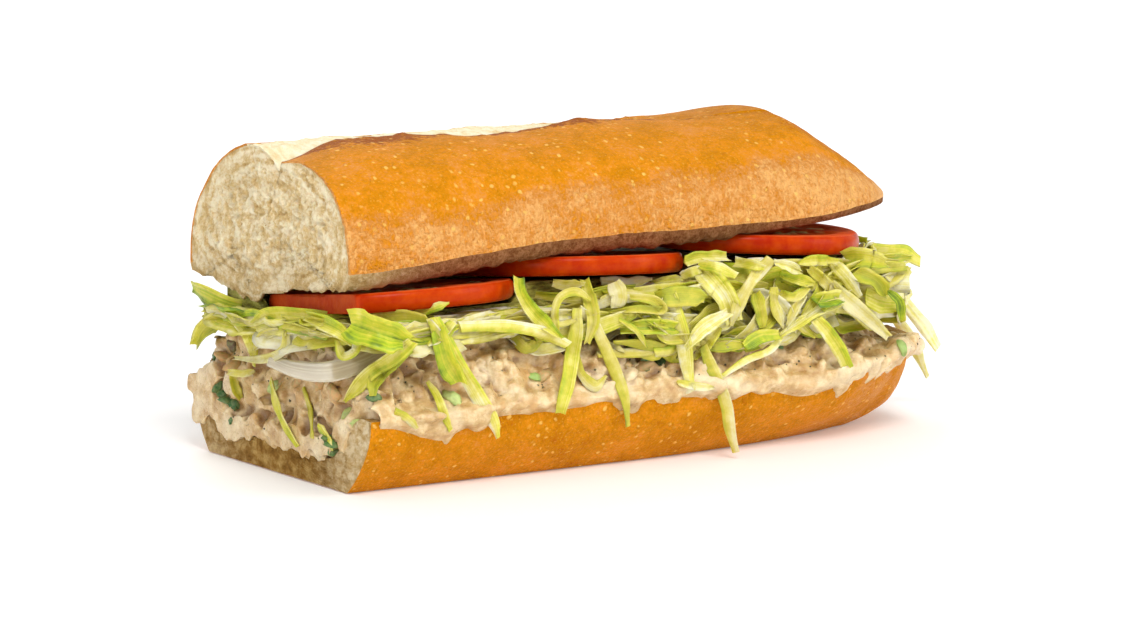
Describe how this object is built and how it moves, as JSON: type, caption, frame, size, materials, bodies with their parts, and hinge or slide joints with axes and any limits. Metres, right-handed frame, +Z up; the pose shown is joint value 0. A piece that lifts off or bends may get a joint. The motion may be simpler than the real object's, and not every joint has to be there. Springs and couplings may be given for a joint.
{
  "type": "submarine sandwich",
  "caption": "Half of a submarine sandwich: a split crusty roll, cut square at one end, filled with creamy tuna salad, onion, shredded lettuce and overlapping tomato slices.",
  "frame": {"origin": "on the flat underside of the lower half of the roll, midway between its long sides and 75 mm from the square cut end", "axes": "+X along the roll from the cut end to the rounded end, -Y to the open front side of the filling, +Z up"},
  "size_m": [0.1657, 0.0797, 0.0683],
  "materials": {
    "bread": "baked crust, satin, with a cream crumb where it is split and cut",
    "tuna_salad": "moist, creamy and lumpy",
    "lettuce": "crisp, thin and slightly translucent",
    "tomato": "wet cut flesh with a smooth red skin",
    "onion": "moist and translucent"
  },
  "bodies": {
    "root": {"bread_bottom": "bread", "bread_top": "bread", "tuna_salad": "tuna_salad", "lettuce": "lettuce", "tomato_1": "tomato", "tomato_2": "tomato", "tomato_3": "tomato", "onion_1": "onion", "onion_2": "onion"}
  },
  "joints": []
}
